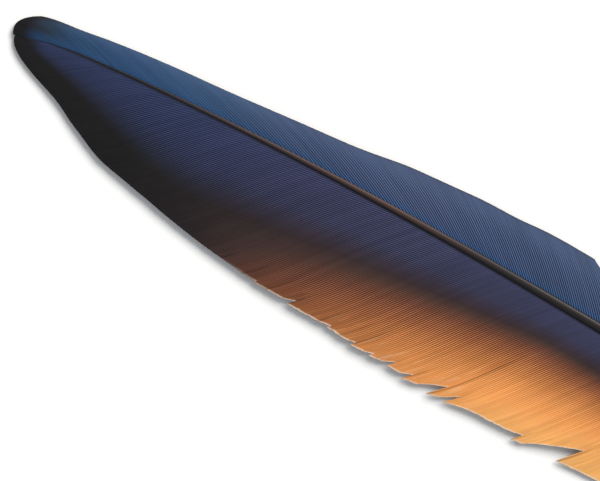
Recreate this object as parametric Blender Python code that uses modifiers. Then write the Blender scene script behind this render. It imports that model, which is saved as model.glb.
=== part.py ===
"""A long flight feather from a left wing, lying on its underside.

It has a tapering shaft, a narrow outer vane, a broad inner vane, and a tuft of down at the foot
of each vane. The tip points to -X and the quill to +X, the outer vane is on the +Y side, and the
glossy upper side faces +Z. A place along the feather is its distance from the tip, along X.
"""

import bmesh
import bpy
import numpy as np

MM = 0.001

# Shaft
LENGTH = 260 * MM  # tip of the vanes to the end of the quill
SHAFT_START = 3.4 * MM  # where the shaft fades out, short of the tip
BOW = 18.9 * MM  # size of the sideways bow towards the leading edge
BOW_RATE = 2.9  # how much of the bow is in the tip half
TIP_HEIGHT = 0.9 * MM  # the shaft's middle above the floor, at the tip
ARCH = 3.2 * MM  # rise of the shaft's middle over a straight line
RADIUS_MID = 0.96 * MM  # half the shaft's width at half length
RADIUS_QUILL = 2.25 * MM
MID = 128 * MM
TAPER = 0.65  # power of the slim half's taper
SWELL_END = 216 * MM  # the quill has its full width from here on
REST = 243 * MM  # the arch ends here, and the quill touches the floor just past it
POINT_LENGTH = 22 * MM  # the quill narrows over this length to its blunt point

# Vanes
THICKNESS = 0.5 * MM
GAP = 0.3 * MM  # between pieces that touch
VANE_END = 206 * MM  # the last barb of each vane leaves the shaft here
CROWN = 0.35  # height of the barbs' roots on the shaft, in shaft radii above its middle
DROOP = 1.7  # power of the curve by which a vane falls from shaft to edge
BARB_BEND = 0.045  # how far a barb bows from its chord, in chord lengths
EDGE_LIFT = 1.55 * MM  # most that the edges stand off the floor, in the tip half
LIFT_START = -12 * MM  # the lift is a sine over this range, so the tip itself has some of it
LIFT_END = 150 * MM  # beyond this the edges lie on the floor
LIFT_POWER = 0.6  # under 1 makes the lift more even

OUTER_SLIM = 5.65 * MM  # outer vane's width near the tip and at half length
OUTER_FULL = 11.4 * MM
OUTER_WIDENS = (38 * MM, 120 * MM)
OUTER_NARROWS = (165 * MM, 206 * MM)
OUTER_FOOT = 0.5  # share of its width left at the foot
OUTER_ROUND = 54 * MM  # length of the tip's rounding
OUTER_ROUND_POWER = 0.24
INNER_FULL = 27.8 * MM
INNER_GROWTH = 32.9 * MM  # length over which the inner vane widens
INNER_LEAD_IN = 5.3 * MM
INNER_POWER = 1.2
INNER_ROUND = 1.5 * MM
INNER_NARROWS = (150 * MM, 204 * MM)
INNER_FOOT = 0.5

# How far ahead of its root a barb ends: full value and build-up length, then what it loses
OUTER_LEAD = (12.0 * MM, 14 * MM)
INNER_LEAD = (19.5 * MM, 25 * MM)
OUTER_STEEPENS = (4.0 * MM, 80 * MM, 130 * MM)
INNER_STEEPENS = (2.0 * MM, 80 * MM, 130 * MM)
FOOT_STEEPENS = (0.62, 150 * MM, 206 * MM)  # share of its lead that a barb loses by the foot

# Splits in the edges: place of the clump's point, depth across the vane, width of the mouth
OUTER_SPLITS = ((129.5 * MM, 3.0 * MM, 7.0 * MM),)
INNER_SPLITS = (
    (75.2 * MM, 2.3 * MM, 3.5 * MM),
    (107.9 * MM, 3.6 * MM, 5.0 * MM),
    (112.2 * MM, 3.2 * MM, 3.0 * MM),
    (137.6 * MM, 5.2 * MM, 8.5 * MM),
    (168.0 * MM, 4.0 * MM, 5.0 * MM),
)
CUTTER_HEIGHT = 30 * MM
CUTTER_REACH = 1.4  # how far a cutter runs past the edge, in depths of its split

# Down: place along the shaft, then half length, half width and half height of a tuft
DOWN_AT = 212.0 * MM
OUTER_TUFT = (4.8 * MM, 4.2 * MM, 1.5 * MM)
INNER_TUFT = (5.2 * MM, 6.4 * MM, 1.6 * MM)
TUFT_SWEEP = 0.45  # how far a tuft leans towards the tip, per unit of its width
CAGE_SWELL = 1.22  # a cube's cage shrinks by about this much when it is subdivided

SHAFT_POINTS = 64
BARB_ROWS = 72
BARB_STEPS = 7


def smooth(value, start, end):
    """0 before start, 1 after end, and an S-shaped step between them."""
    share = np.clip((value - start) / (end - start), 0.0, 1.0)
    return share * share * (3 - 2 * share)


def bow(along):
    """Sideways place of the shaft's middle: an exponential bow over its chord."""
    share = along / LENGTH
    return BOW * ((1 - np.exp(-BOW_RATE * share)) - share * (1 - np.exp(-BOW_RATE)))


def slope(along):
    """Sideways slope of the shaft, the derivative of its bow."""
    share = along / LENGTH
    return BOW / LENGTH * (BOW_RATE * np.exp(-BOW_RATE * share) - (1 - np.exp(-BOW_RATE)))


def shaft_height(along):
    """Height of the shaft's middle: a straight line to the resting quill, plus half a sine arch."""
    share = along / REST
    return TIP_HEIGHT + (RADIUS_QUILL - TIP_HEIGHT) * share + ARCH * np.sin(np.pi * share)


def shaft_radius(along):
    """Slim power taper in the tip half, swelling to the quill, which narrows to a blunt point."""
    slim = RADIUS_MID * (np.minimum(along, VANE_END) / MID) ** TAPER
    slim_end = RADIUS_MID * (VANE_END / MID) ** TAPER
    swell = (RADIUS_QUILL - slim_end) * smooth(along, MID, SWELL_END)
    to_end = np.clip((LENGTH - along) / POINT_LENGTH, 0.0, 1.0)
    return (slim + swell) * (0.3 + 0.7 * np.sqrt(1 - (1 - to_end) ** 2))


def outer_width(along):
    """Rounded tip, slim front, then a smooth step to full width, and a narrower foot."""
    rounding = 1 - (1 - np.clip(along / OUTER_ROUND, 0.0, 1.0)) ** 2
    body = OUTER_SLIM + (OUTER_FULL - OUTER_SLIM) * smooth(along, *OUTER_WIDENS)
    foot = 1 - (1 - OUTER_FOOT) * smooth(along, *OUTER_NARROWS)
    return body * foot * rounding**OUTER_ROUND_POWER


def inner_width(along):
    """Blunt tip, then an exponential approach to full width, and a narrower foot."""
    rounding = np.sqrt(1 - (1 - np.clip(along / INNER_ROUND, 0.0, 1.0)) ** 2)
    growth = 1 - np.exp(-(((along + INNER_LEAD_IN) / INNER_GROWTH) ** INNER_POWER))
    foot = 1 - (1 - INNER_FOOT) * smooth(along, *INNER_NARROWS)
    return INNER_FULL * growth * foot * rounding


def edge_place(root, lead, steepens):
    """Where along the feather a barb from this root ends, 0 for the first one."""
    from_start = root - SHAFT_START
    ahead = SHAFT_START + lead[0] * (1 - np.exp(-from_start / lead[1]))
    ahead = ahead - steepens[0] * smooth(root, *steepens[1:])
    return root - ahead * (1 - FOOT_STEEPENS[0] * smooth(root, *FOOT_STEEPENS[1:]))


def beside(along, width, side):
    """Plan point at a width to one side of the shaft (+1 outer, -1 inner), square to it."""
    turn = slope(along)
    scale = side * width / np.sqrt(1 + turn * turn)
    x = along - LENGTH / 2 - turn * scale
    y = bow(along) + scale
    return x, y


def side_shift():
    """The sideways shift that puts the middle of the feather's width at the origin."""
    along = np.linspace(0, VANE_END, 600)
    outermost = beside(along, outer_width(along), 1)[1].max()
    innermost = beside(along, inner_width(along), -1)[1].min()
    return -(outermost + innermost) / 2


SHIFT = side_shift()
VANES = {
    "outer": (1, outer_width, OUTER_LEAD, OUTER_STEEPENS),
    "inner": (-1, inner_width, INNER_LEAD, INNER_STEEPENS),
}


def barb_points(vane, root, share):
    """Points at a share of the way along the barbs from these roots, as an (n, 3) array.

    In plan each barb is a quadratic curve from the shaft's side to the edge, bowed away from the
    tip. In height it leaves the shaft level and droops to the edge by a power of the share.
    """
    side, width, lead, steepens = VANES[vane]
    end = np.maximum(edge_place(root, lead, steepens), 0.0)
    start_x, start_y = beside(root, shaft_radius(root) + GAP, side)
    end_x, end_y = beside(end, np.maximum(width(end), GAP / 2), side)
    mid_x = (start_x + end_x) / 2 - side * (start_y - end_y) * BARB_BEND
    mid_y = (start_y + end_y) / 2 + side * (start_x - end_x) * BARB_BEND
    near, middle, far = (1 - share) ** 2, 2 * share * (1 - share), share**2
    root_z = shaft_height(root) + CROWN * shaft_radius(root)
    lifted = np.clip((end - LIFT_START) / (LIFT_END - LIFT_START), 0.0, 1.0)
    end_z = THICKNESS / 2 + EDGE_LIFT * np.sin(np.pi * lifted) ** LIFT_POWER
    return np.stack(
        [
            near * start_x + middle * mid_x + far * end_x,
            near * start_y + middle * mid_y + far * end_y + SHIFT,
            root_z + (end_z - root_z) * share**DROOP,
        ],
        axis=-1,
    )


def collection(name):
    """A new collection, linked to the scene."""
    made = bpy.data.collections.new(name)
    bpy.context.scene.collection.children.link(made)
    return made


def finish(obj, home, name, color, roughness):
    """Names the object, puts it in its collection, and gives it a material of its own."""
    obj.name = name
    home.objects.link(obj)
    material = bpy.data.materials.new(name)
    material.use_nodes = True
    shader = material.node_tree.nodes["Principled BSDF"]
    shader.inputs["Base Color"].default_value = (*color, 1.0)
    shader.inputs["Roughness"].default_value = roughness
    shader.inputs["Metallic"].default_value = 0.0
    obj.data.materials.append(material)
    return obj


def add_shaft(home):
    """The shaft as one tube whose radius changes from point to point, closed at both ends."""
    data = bpy.data.curves.new("shaft", "CURVE")
    data.dimensions = "3D"
    data.bevel_depth = 1 * MM
    data.bevel_resolution = 4
    data.use_fill_caps = True
    spline = data.splines.new("POLY")
    spline.points.add(SHAFT_POINTS - 1)
    spline.use_smooth = True
    along = np.linspace(SHAFT_START, LENGTH, SHAFT_POINTS)
    for point, place in zip(spline.points, along):
        x, y = beside(place, 0.0, 1)
        point.co = (x, y + SHIFT, shaft_height(place), 1.0)
        point.radius = shaft_radius(place) / data.bevel_depth
    return finish(bpy.data.objects.new("shaft", data), home, "shaft", (0.10, 0.055, 0.035), 0.35)


def add_vane(home, vane, color):
    """A vane as a grid laid along its barbs, one row to a group of barbs, given its thickness."""
    shape = bmesh.new()
    bmesh.ops.create_grid(shape, x_segments=BARB_ROWS, y_segments=BARB_STEPS, size=0.5)
    flat = np.array([vertex.co for vertex in shape.verts])
    root = SHAFT_START + (flat[:, 0] + 0.5) * (VANE_END - SHAFT_START)
    for vertex, place in zip(shape.verts, barb_points(vane, root, flat[:, 1] + 0.5)):
        vertex.co = place
    bmesh.ops.recalc_face_normals(shape, faces=shape.faces)
    mesh = bpy.data.meshes.new(vane + "_vane")
    shape.to_mesh(mesh)
    shape.free()
    mesh.shade_smooth()
    obj = finish(bpy.data.objects.new(mesh.name, mesh), home, mesh.name, color, 0.5)
    plate = obj.modifiers.new("thickness", "SOLIDIFY")
    plate.thickness = THICKNESS
    plate.offset = 0.0
    return obj


def add_split(home, vane_object, vane, number, split):
    """Cuts one split: a wedge whose straight side follows the barb that ends in the point."""
    place, depth, mouth = split
    side, width, lead, steepens = VANES[vane]
    roots = np.linspace(SHAFT_START, VANE_END, 800)
    ends = edge_place(roots, lead, steepens)
    root, mouth_root = np.interp([place, place - mouth], ends, roots)
    inside = 1 - depth / width(place)
    corner, point, lip = barb_points(
        vane, np.array([root, root, mouth_root]), np.array([inside, 1.0, 1.0])
    )
    outline = [corner, corner + CUTTER_REACH * (point - corner), corner + CUTTER_REACH * (lip - corner)]
    data = bpy.data.curves.new("split", "CURVE")
    data.dimensions = "2D"
    data.fill_mode = "BOTH"
    data.extrude = CUTTER_HEIGHT / 2
    spline = data.splines.new("POLY")
    spline.points.add(len(outline) - 1)
    spline.use_cyclic_u = True
    for handle, spot in zip(spline.points, outline):
        handle.co = (spot[0], spot[1], 0.0, 1.0)
    flat = bpy.data.objects.new("split", data)
    home.objects.link(flat)
    depsgraph = bpy.context.evaluated_depsgraph_get()
    mesh = bpy.data.meshes.new_from_object(flat.evaluated_get(depsgraph))
    wedge = bmesh.new()
    wedge.from_mesh(mesh)
    bmesh.ops.remove_doubles(wedge, verts=wedge.verts, dist=0.01 * MM)
    bmesh.ops.recalc_face_normals(wedge, faces=wedge.faces)
    wedge.to_mesh(mesh)
    wedge.free()
    cutter = bpy.data.objects.new(f"{vane}_split_{number}", mesh)
    cutter.matrix_world = flat.matrix_world
    bpy.data.objects.remove(flat)
    home.objects.link(cutter)
    cutter.hide_render = True
    cutter.display_type = "WIRE"
    cut = vane_object.modifiers.new(cutter.name, "BOOLEAN")
    cut.operation = "DIFFERENCE"
    cut.solver = "EXACT"
    cut.object = cutter


def add_tuft(home, vane, half_sizes, color):
    """A tuft of down as a soft flat pad beside the shaft, from a cube's cage, subdivided."""
    side = VANES[vane][0]
    length, width, height = half_sizes
    cage = bmesh.new()
    bmesh.ops.create_cube(cage, size=2.0)
    at_side = shaft_radius(DOWN_AT) + GAP + width
    middle_x, middle_y = beside(DOWN_AT, at_side, side)
    middle_z = shaft_height(DOWN_AT) - 0.3 * height
    for vertex in cage.verts:
        x = vertex.co.x * length * CAGE_SWELL
        y = vertex.co.y * width * CAGE_SWELL
        vertex.co.x = middle_x + x - side * y * TUFT_SWEEP
        vertex.co.y = middle_y + SHIFT + y
        vertex.co.z = middle_z + vertex.co.z * height * CAGE_SWELL
    mesh = bpy.data.meshes.new(vane + "_down")
    cage.to_mesh(mesh)
    cage.free()
    mesh.shade_smooth()
    obj = finish(bpy.data.objects.new(mesh.name, mesh), home, mesh.name, color, 0.9)
    soft = obj.modifiers.new("soft", "SUBSURF")
    soft.levels = 2
    soft.render_levels = 2


def main():
    for obj in list(bpy.data.objects):
        bpy.data.objects.remove(obj)
    parts = collection("wing_feather")
    cutters = collection("cutters")
    add_shaft(parts)
    outer = add_vane(parts, "outer", (0.055, 0.09, 0.19))
    inner = add_vane(parts, "inner", (0.18, 0.10, 0.08))
    for number, split in enumerate(OUTER_SPLITS, 1):
        add_split(cutters, outer, "outer", number, split)
    for number, split in enumerate(INNER_SPLITS, 1):
        add_split(cutters, inner, "inner", number, split)
    add_tuft(parts, "outer", OUTER_TUFT, (0.35, 0.32, 0.30))
    add_tuft(parts, "inner", INNER_TUFT, (0.35, 0.32, 0.30))


main()
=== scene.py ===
"""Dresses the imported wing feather: shaft, two webs of hooked barbs, and the loose down.

Every piece is a surface worked out with numpy from the feather's own curves. A place along the
feather is its distance from the tip along X, and a place across it is its distance from the shaft.
"""

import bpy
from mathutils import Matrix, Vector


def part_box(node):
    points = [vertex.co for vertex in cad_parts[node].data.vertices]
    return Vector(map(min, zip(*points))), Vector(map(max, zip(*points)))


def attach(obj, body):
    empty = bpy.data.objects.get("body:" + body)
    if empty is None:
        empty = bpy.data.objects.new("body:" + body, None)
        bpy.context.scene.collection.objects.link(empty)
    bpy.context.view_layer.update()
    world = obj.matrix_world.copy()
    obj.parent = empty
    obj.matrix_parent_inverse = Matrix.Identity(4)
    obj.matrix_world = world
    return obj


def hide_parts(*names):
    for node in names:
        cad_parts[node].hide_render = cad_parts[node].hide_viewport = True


bl_info = {
    "name": "Wing Feather",
    "version": (1, 0, 0),
    "blender": (4, 5, 0),
    "location": "View3D > Sidebar > Feather",
    "description": "Builds a flight feather barb by barb, with its shaft and down",
    "category": "Add Mesh",
}

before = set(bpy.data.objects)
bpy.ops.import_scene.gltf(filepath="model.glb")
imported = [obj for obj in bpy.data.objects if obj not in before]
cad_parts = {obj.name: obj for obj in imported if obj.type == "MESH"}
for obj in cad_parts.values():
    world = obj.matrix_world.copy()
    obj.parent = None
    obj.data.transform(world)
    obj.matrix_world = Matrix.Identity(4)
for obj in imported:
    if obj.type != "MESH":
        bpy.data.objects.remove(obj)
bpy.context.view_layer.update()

import bpy
import numpy as np
from bpy.props import FloatProperty, FloatVectorProperty, IntProperty, PointerProperty
from mathutils import Vector

MM = 0.001
SHAFT_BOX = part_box("shaft")
PREFIX = "feather"

# The feather's own curves, as its solid pieces have them
LENGTH = 260 * MM
TIP_X = SHAFT_BOX[1].x - LENGTH
SHAFT_START = 3.4 * MM
BOW = 18.9 * MM
BOW_RATE = 2.9
TIP_HEIGHT = 0.9 * MM
ARCH = 3.2 * MM
RADIUS_MID = 0.96 * MM
RADIUS_QUILL = 2.25 * MM
MID = 128 * MM
TAPER = 0.65
SWELL_END = 216 * MM
REST = 243 * MM
POINT_LENGTH = 22 * MM
POINT_RADIUS = 0.3  # of the quill's blunt end, as a share of its own
VANE_END = 206 * MM
CROWN = 0.35
DROOP = 1.7
EDGE_LIFT = 1.55 * MM
LIFT_START = -12 * MM
LIFT_END = 150 * MM
LIFT_POWER = 0.6
PLATE = 0.5 * MM
FOOT_STEEPENS = (0.62, 150 * MM, 206 * MM)
OUTER_SLIM = 5.65 * MM
OUTER_FULL = 11.4 * MM
OUTER_WIDENS = (38 * MM, 120 * MM)
OUTER_NARROWS = (165 * MM, 206 * MM)
OUTER_ROUND = 54 * MM
OUTER_ROUND_POWER = 0.24
INNER_FULL = 27.8 * MM
INNER_LEAD_IN = 5.3 * MM
INNER_GROWTH = 32.9 * MM
INNER_POWER = 1.2
INNER_ROUND = 1.5 * MM
INNER_NARROWS = (150 * MM, 204 * MM)
FOOT = 0.5

# What only the visual pieces have
TIP_TURN = (1.6 * MM, 14 * MM, 1.6)  # the shaft's end turns by this, over this length, by a power
ROOT_INSET = 0.7  # barbs start inside the shaft, at this share of its radius
ROOT_CLEAR = 3 * MM  # the vanes part over this length, where the shaft begins
OVERLAP = 0.06 * MM  # and overlap by this in front of it
LEAST_WIDTH = 0.02 * MM
LEAST_HEIGHT = 0.02 * MM  # over the floor
LEAST_WEB = 0.08 * MM
LONGEST = 1.12  # most that a barb of the web reaches, in lengths to the plain outline
DROOP_END = 1.2  # and past this a loose end droops no further
SHAFT_RINGS = 420
SHAFT_SIDES = 40
BUTT_HOLLOW = 1.6 * MM  # depth of the hollow in the quill's end
TUBE = (188 * MM, 214 * MM)  # the boxy shaft turns into a round quill between these
BOX_POWER = 0.72  # power of the sine and cosine in the boxy part, below 1 for fuller corners
GROOVE_WIDTH = 0.34  # half width of the groove, in radii
FLUTES = (9, 0.012)  # flutes round the shaft, and their depth in radii
DOWN_STEPS = 15
DOWN_START = 199 * MM
DOWN_RUN = 24 * MM  # length of shaft that the down grows from
WISP_STEPS = 9
BARBULE_TAPER = (1, 0.8, 0.55, 0.12)  # thickness at each step of a barbule
OUTLINE_STEPS = 600
EDGE_STEPS = 800
NEWTON_STEPS = 6
COUNT_STEPS = 3000
TINY = 1e-9
UP = np.array([0.0, 0.0, 1.0])
OFF_UPRIGHT = 1e-4  # added to it, so that a standing fibre has a side too

# The trailing vane's dark band: its place beside the shaft at the tip, its fall along the
# feather, the least that this comes to, and the least anywhere
BAND = (22.6 * MM, 0.122, 7.6 * MM, 2.2 * MM)
# Rows of the web that stand closer by the shaft and by the edge, as shares of a barb
FIRST_ROWS = (0, 0.008, 0.02)
LAST_ROWS = (0.995, 1)
# Waves of the web: barbs to a wave, and its height
WAVES = ((5, 0.10), (17, 0.16), (61, 0.30))

# The stage, in metres, watts and degrees. The camera looks straight down on the tip half, turned
# against the feather's length.
CAMERA_TURN = 29.603
CAMERA_AIM = (70.84 * MM, -8.89 * MM, 3 * MM)  # along the feather, beside its chord, and up
FRAME_WIDTH = 120 * MM
LENS = 180
SENSOR = 36
LAMP_TURN = 45  # from the camera's right, towards the top of its view
LAMP_REACH = 1.6
LAMP_HEIGHT = 1.45
LAMP_RADIUS = 0.85
LAMP_POWER = 238
SKY_STRENGTH = 0.46
FLOOR_HALF = 30.0
FLOOR_GAP = 0.02 * MM  # the floor lies this far under the feather, so that no faces coincide


def linear(code):
    """An sRGB hex colour as linear red, green and blue, and a full alpha."""
    parts = np.array([int(code[i : i + 2], 16) / 255 for i in (1, 3, 5)])
    curved = ((parts + 0.055) / 1.055) ** 2.4
    return (*np.where(parts <= 0.04045, parts / 12.92, curved).tolist(), 1.0)


def smooth(value, start, end):
    """0 before start, 1 after end, and an S-shaped step between them."""
    share = np.clip((value - start) / (end - start), 0.0, 1.0)
    return share * share * (3 - 2 * share)


# ---------------------------------------------------------------- the feather's curves


def bow(along):
    """Sideways place of the shaft's middle: an exponential bow over its chord."""
    share = along / LENGTH
    return BOW * ((1 - np.exp(-BOW_RATE * share)) - share * (1 - np.exp(-BOW_RATE)))


def slope(along):
    """Sideways slope of the shaft, the derivative of its bow."""
    share = along / LENGTH
    return BOW / LENGTH * (BOW_RATE * np.exp(-BOW_RATE * share) - (1 - np.exp(-BOW_RATE)))


def shaft_height(along):
    """Height of the shaft's middle: a straight line to the resting quill, plus half a sine arch."""
    share = along / REST
    return TIP_HEIGHT + (RADIUS_QUILL - TIP_HEIGHT) * share + ARCH * np.sin(np.pi * share)


def shaft_radius(along):
    """Slim power taper in the tip half, swelling to the quill, which narrows to a blunt point."""
    slim = RADIUS_MID * (np.minimum(along, VANE_END) / MID) ** TAPER
    slim_end = RADIUS_MID * (VANE_END / MID) ** TAPER
    swell = (RADIUS_QUILL - slim_end) * smooth(along, MID, SWELL_END)
    to_end = np.clip((LENGTH - along) / POINT_LENGTH, 0.0, 1.0)
    return (slim + swell) * (POINT_RADIUS + (1 - POINT_RADIUS) * np.sqrt(1 - (1 - to_end) ** 2))


def outer_width(along):
    """Rounded tip, slim front, then a smooth step to full width, and a narrower foot."""
    rounding = 1 - (1 - np.clip(along / OUTER_ROUND, 0.0, 1.0)) ** 2
    body = OUTER_SLIM + (OUTER_FULL - OUTER_SLIM) * smooth(along, *OUTER_WIDENS)
    return body * (1 - FOOT * smooth(along, *OUTER_NARROWS)) * rounding**OUTER_ROUND_POWER


def inner_width(along):
    """Blunt tip, then an exponential approach to full width, and a narrower foot."""
    rounding = np.sqrt(1 - (1 - np.clip(along / INNER_ROUND, 0.0, 1.0)) ** 2)
    growth = 1 - np.exp(-(((along + INNER_LEAD_IN) / INNER_GROWTH) ** INNER_POWER))
    return INNER_FULL * growth * (1 - FOOT * smooth(along, *INNER_NARROWS)) * rounding


def edge_place(root, lead, steepens):
    """Where along the feather a barb from this root ends, 0 for the first one.

    Its end lies ahead of its root by an exponential approach to the lead, less two S-shaped
    steps where the barbs steepen: one of the vane's own, and one at the foot.
    """
    ahead = SHAFT_START + lead[0] * (1 - np.exp(-(root - SHAFT_START) / lead[1]))
    ahead = ahead - steepens[0] * smooth(root, *steepens[1:])
    return root - ahead * (1 - FOOT_STEEPENS[0] * smooth(root, *FOOT_STEEPENS[1:]))


def beside(along, width, side):
    """Plan point at a width to one side of the shaft (+1 outer, -1 inner), square to it."""
    turn = slope(along)
    scale = side * width / np.sqrt(1 + turn * turn)
    return TIP_X + along - turn * scale, bow(along) + scale


def side_shift():
    """The sideways shift of the whole feather, read from the solid outer vane's far edge."""
    along = np.linspace(0, VANE_END, OUTLINE_STEPS)
    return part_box("outer_vane")[1].y - beside(along, outer_width(along), 1)[1].max()


SHIFT = side_shift()

# A lead is how far the barbs' ends come to lie ahead of their roots, and over what length they
# come to it. Steepens is how much of it goes, and between which roots. Rows go from shaft to
# edge, and there are this many columns to a barb.
# Splits in an edge, in mm: where the next clump's point is, how deep the clump before it has worn
# and over what run, and how far the point stands proud. Swells are gentle: place, height and
# half width. Creases are gaps that stay closed: place on the edge, start as a share of the barb,
# and rise. A bend is how far a barb leaves its chord, plain and hooked. A tip is a parabola: where
# its nose is along and beside the feather, its steepness, the places beside the feather that it
# runs between, and where along the edge it ends and where the last of it has faded out.
VANES = {
    "outer": {
        "side": 1,
        "width": outer_width,
        "lead": (12.0 * MM, 14 * MM),
        "steepens": (4.0 * MM, 80 * MM, 130 * MM),
        "rows": 24,
        "columns": 4,
        "bend": (0.07, 0.0),
        "tip": (-0.28 * MM, 0.4 * MM, 212.0, -1.38 * MM, 4.6 * MM, 3.6 * MM, 14 * MM),
        "splits": ((129.5, 4.0, 5.6, 0.2), (171.0, 1.0, 3.5, 0.3)),
        "swells": ((70, -0.28, 8), (83, 0.18, 5), (106, -0.33, 5)),
        "creases": ((129.5, 0.15, 0.20), (171.0, 0.4, 0.12)),
    },
    "inner": {
        "side": -1,
        "width": inner_width,
        "lead": (19.5 * MM, 25 * MM),
        "steepens": (2.0 * MM, 80 * MM, 130 * MM),
        "rows": 30,
        "columns": 3,
        "bend": (-0.06, 0.2),
        "tip": (0.75 * MM, -1.3 * MM, 270.0, -1.2 * MM, -5.1 * MM, 4.0 * MM, 10 * MM),
        "splits": (
            (66.5, 0.2, 2.0, 0.2),
            (74.6, 1.0, 1.8, 0.5),
            (84.0, 0.4, 2.5, 0.3),
            (90.3, 0.5, 2.0, 0.5),
            (94.8, 0.5, 1.5, 0.4),
            (98.8, 1.4, 1.5, 0.3),
            (103.4, 1.2, 1.6, 0.9),
            (109.6, 2.6, 3.2, 1.3),
            (113.2, 2.4, 1.8, 1.1),
            (128.3, 1.3, 7.0, 0.7),
            (137.4, 5.0, 7.0, 0.0),
            (155.0, 1.6, 6.0, 0.5),
            (168.0, 4.2, 5.5, 0.6),
            (183.0, 1.6, 4.0, 0.5),
        ),
        "swells": (
            (13, -0.35, 4), (27, 0.45, 5), (40, -0.1, 6), (56, 0.12, 7),
            (67, 0.35, 5), (77, 0.3, 5), (91, 0.65, 6), (103, 0.7, 4),
            (109, 0.4, 3), (119, -0.3, 4), (133, 0.2, 4), (146, -1.2, 9),
        ),
        "creases": (
            (57.5, 0.86, 0.06),
            (63.5, 0.78, 0.08),
            (69.5, 0.76, 0.08),
            (74.6, 0.84, 0.08),
            (81.5, 0.78, 0.10),
            (87.0, 0.72, 0.10),
            (90.3, 0.70, 0.10),
            (98.8, 0.90, 0.08),
            (103.4, 0.84, 0.10),
            (109.6, 0.36, 0.20),
            (113.2, 0.82, 0.10),
            (128.3, 0.90, 0.10),
            (137.4, 0.72, 0.14),
            (155.0, 0.60, 0.14),
            (168.0, 0.30, 0.22),
            (183.0, 0.55, 0.16),
        ),
    },
}


def tip_turn(along):
    """The shaft's end turns towards the trailing side, by a power of the distance."""
    turn, length, power = TIP_TURN
    return -turn * np.clip(1 - along / length, 0, 1) ** power


def edge_points(vane, end):
    """Plan points of a vane's plain edge, where barbs that end at these places along it reach.

    An edge follows its width, but its first part is drawn to the parabola that rounds the tip.
    """
    facts = VANES[vane]
    side, width = facts["side"], facts["width"]
    nose_x, nose_y, steep, first, last, reach, fade = facts["tip"]
    x, y = beside(end, np.maximum(width(end), LEAST_WIDTH), side)
    inside = np.minimum(end, reach)
    inside_x, inside_y = beside(inside, np.maximum(width(inside), LEAST_WIDTH), side)
    tip_y = first + (last - first) * inside / reach
    tip_x = TIP_X + nose_x + steep * (tip_y - nose_y) ** 2
    held = 1 - smooth(end, reach, fade)
    return x + (tip_x - inside_x) * held, y + (tip_y - inside_y) * held


def vane_points(vane, root, share):
    """Points of a vane's middle sheet, at a share of the way along the barbs from these roots.

    In plan each barb leaves its chord by a parabola and by a quartic that hooks its end. In height
    it leaves the shaft level and droops to the edge by a power of the share. The edge's own height
    over the floor is a power of a sine.
    """
    facts = VANES[vane]
    side = facts["side"]
    end = np.maximum(edge_place(root, facts["lead"], facts["steepens"]), 0.0)
    clear = smooth(root, SHAFT_START, SHAFT_START + ROOT_CLEAR)
    inset = ROOT_INSET * shaft_radius(root) * clear - OVERLAP * (1 - clear)
    start_x, start_y = beside(root, inset, side)
    start_y = start_y + tip_turn(root)
    end_x, end_y = edge_points(vane, end)
    plain, hooked = facts["bend"]
    off = share * (1 - share) * (plain + hooked * share**2)
    x = start_x + (end_x - start_x) * share - side * (start_y - end_y) * off
    y = start_y + (end_y - start_y) * share + side * (start_x - end_x) * off
    root_z = shaft_height(root) + CROWN * shaft_radius(root)
    lifted = np.clip((end - LIFT_START) / (LIFT_END - LIFT_START), 0.0, 1.0)
    end_z = PLATE / 2 + EDGE_LIFT * np.sin(np.pi * lifted) ** LIFT_POWER
    z = root_z + (end_z - root_z) * np.clip(share, 0, DROOP_END) ** DROOP
    return np.stack([x, y + SHIFT, z], axis=-1)


# ---------------------------------------------------------------- mesh helpers


def waver(places, period, seed):
    """A smooth random line, about -1 to 1: random heights a period apart, joined by S-curves."""
    draws = np.random.default_rng(seed).uniform(-1, 1, int(places.max() / period) + 3)
    cell = np.floor(places / period).astype(int)
    part = places / period - cell
    part = part * part * (3 - 2 * part)
    return draws[cell] * (1 - part) + draws[cell + 1] * part


def grid_faces(rows, columns):
    """The faces of a grid of points, as index quads, each running row, next row, next column."""
    first = np.arange(rows - 1)[:, None] * columns + np.arange(columns - 1)[None, :]
    quads = np.stack([first, first + columns, first + columns + 1, first + 1], axis=-1)
    return quads.reshape(-1, 4)


def wall_faces(quads, offset):
    """Walls from the open edges of a sheet of quads down to its copy, whose points are offset on."""
    starts = quads.reshape(-1)
    ends = np.roll(quads, -1, axis=1).reshape(-1)
    size = offset + 1
    lone = ~np.isin(starts * size + ends, ends * size + starts)
    starts, ends = starts[lone], ends[lone]
    return np.stack([ends, starts, starts + offset, ends + offset], axis=-1)


def new_mesh(name, points, faces):
    """A mesh object at the origin from arrays of points and faces, smooth shaded."""
    mesh = bpy.data.meshes.new(name)
    mesh.from_pydata(points, [], faces)
    mesh.validate()
    mesh.shade_smooth()
    obj = bpy.data.objects.new(name, mesh)
    bpy.context.scene.collection.objects.link(obj)
    return obj


def set_attribute(mesh, name, values):
    """A number at each point of the mesh, for its material to read."""
    mesh.attributes.new(name, "FLOAT", "POINT").data.foreach_set("value", values.astype("f4").ravel())


def set_map(mesh, name, corners):
    """A UV map from an array of one pair for each face corner."""
    mesh.uv_layers.new(name=name).uv.foreach_set("vector", corners.astype("f4").ravel())


def unit(vectors):
    """Vectors brought to length 1."""
    return vectors / np.maximum(np.linalg.norm(vectors, axis=-1, keepdims=True), 1e-12)


# ---------------------------------------------------------------- vanes


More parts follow.
